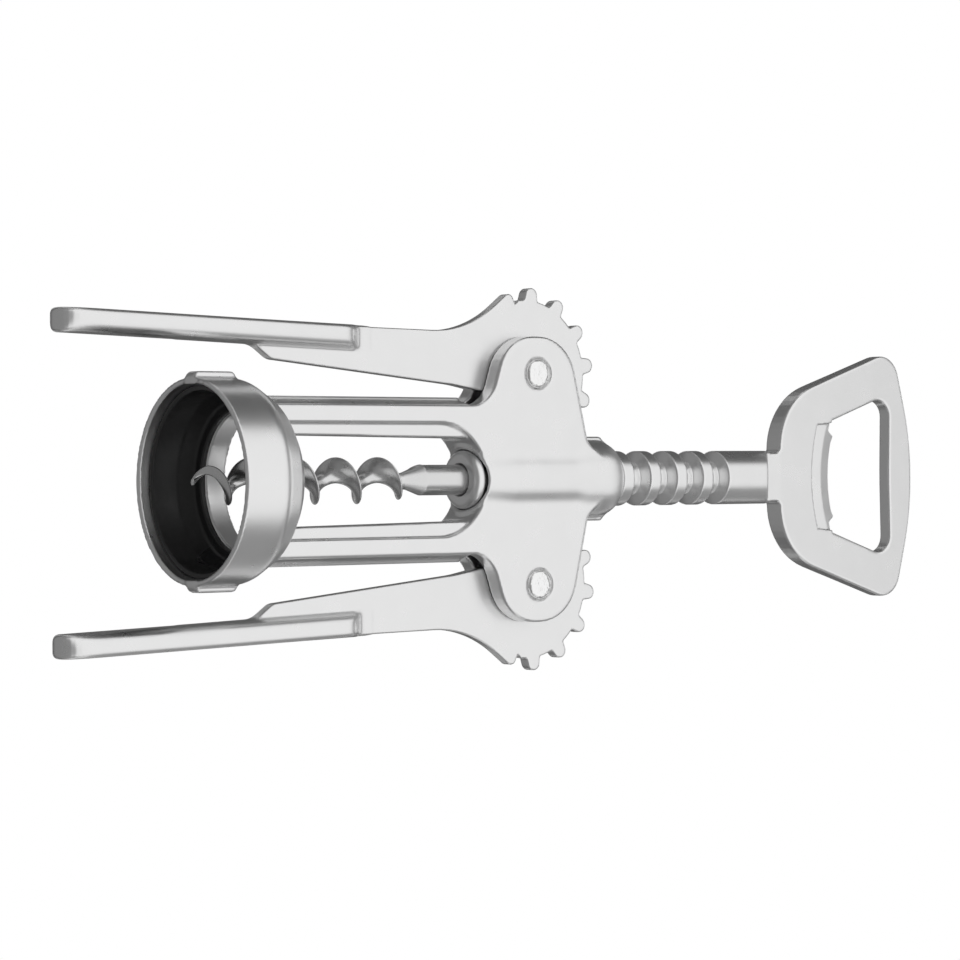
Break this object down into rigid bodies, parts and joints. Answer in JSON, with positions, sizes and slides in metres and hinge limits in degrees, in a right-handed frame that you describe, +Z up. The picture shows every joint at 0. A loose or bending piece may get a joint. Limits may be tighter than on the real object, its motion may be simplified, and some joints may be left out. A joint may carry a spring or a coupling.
{
  "type": "wing corkscrew",
  "caption": "Wing corkscrew with a bottle bell, geared side levers, a round rack and an auger worm; its handle is a crown-cap opener.",
  "frame": {"origin": "centre of the bell's mouth, in the plane of its rim", "axes": "+Z up the worm's axis to the handle, +X to the right lever, -Y to the front of the tool"},
  "size_m": [0.071, 0.036, 0.1991],
  "materials": {
    "satin_zinc": "satin plated zinc casting",
    "polished_steel": "polished",
    "worm_steel": "darker glossy steel",
    "black_plastic": "moulded, matt"
  },
  "bodies": {
    "frame": {"frame_casting": "satin_zinc", "bell_liner": "black_plastic", "left_rivet": "polished_steel", "right_rivet": "polished_steel"},
    "left_lever": {"left_lever": "satin_zinc"},
    "right_lever": {"right_lever": "satin_zinc"},
    "rack_carriage": {"stop_ring": "satin_zinc"},
    "worm_drive": {"rack_handle": "satin_zinc", "worm": "worm_steel"}
  },
  "joints": [
    {"name": "left_lever_hinge", "type": "hinge", "parent": "frame", "child": "left_lever", "pos_m": [-0.01946, 0, 0.0727], "axis": [0, 1, 0], "range_deg": [-4, 129]},
    {"name": "right_lever_hinge", "type": "hinge", "parent": "frame", "child": "right_lever", "pos_m": [0.01946, 0, 0.0727], "axis": [0, 1, 0], "range_deg": [-129, 4]},
    {"name": "rack_slide", "type": "slide", "parent": "frame", "child": "rack_carriage", "axis": [0, 0, 1], "range_m": [-0.03312, 0.00103]},
    {"name": "handle_turn", "type": "hinge", "parent": "rack_carriage", "child": "worm_drive", "pos_m": [0, 0, 0.1], "axis": [0, 0, 1], "continuous": true}
  ],
  "couplings": [
    {"joint": "right_lever_hinge", "follows": "left_lever_hinge", "ratio": -1},
    {"joint": "rack_slide", "follows": "left_lever_hinge", "m_per_rad": -0.014706}
  ]
}
